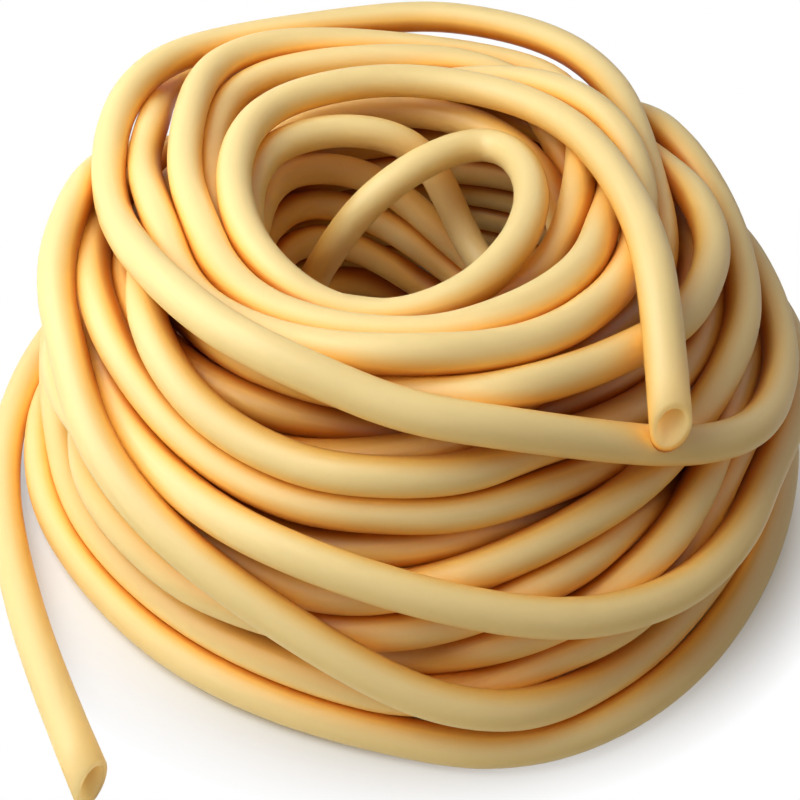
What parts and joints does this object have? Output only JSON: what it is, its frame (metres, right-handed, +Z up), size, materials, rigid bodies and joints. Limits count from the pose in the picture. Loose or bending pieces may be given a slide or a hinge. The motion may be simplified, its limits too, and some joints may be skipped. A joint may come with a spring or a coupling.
{
  "type": "rubber tubing coil",
  "caption": "Loose heap of natural latex tubing, wound round an open well, with both cut ends left free.",
  "frame": {"origin": "on the floor under the middle of the whole heap and its loose ends", "axes": "+Z up out of the heap's well, -Y towards the side where the loose ends come to the front"},
  "size_m": [0.264, 0.2725, 0.1007],
  "materials": {
    "latex": "satin"
  },
  "bodies": {
    "root": {"coil": "latex", "upper_end": "latex", "lower_end": "latex"}
  },
  "joints": []
}
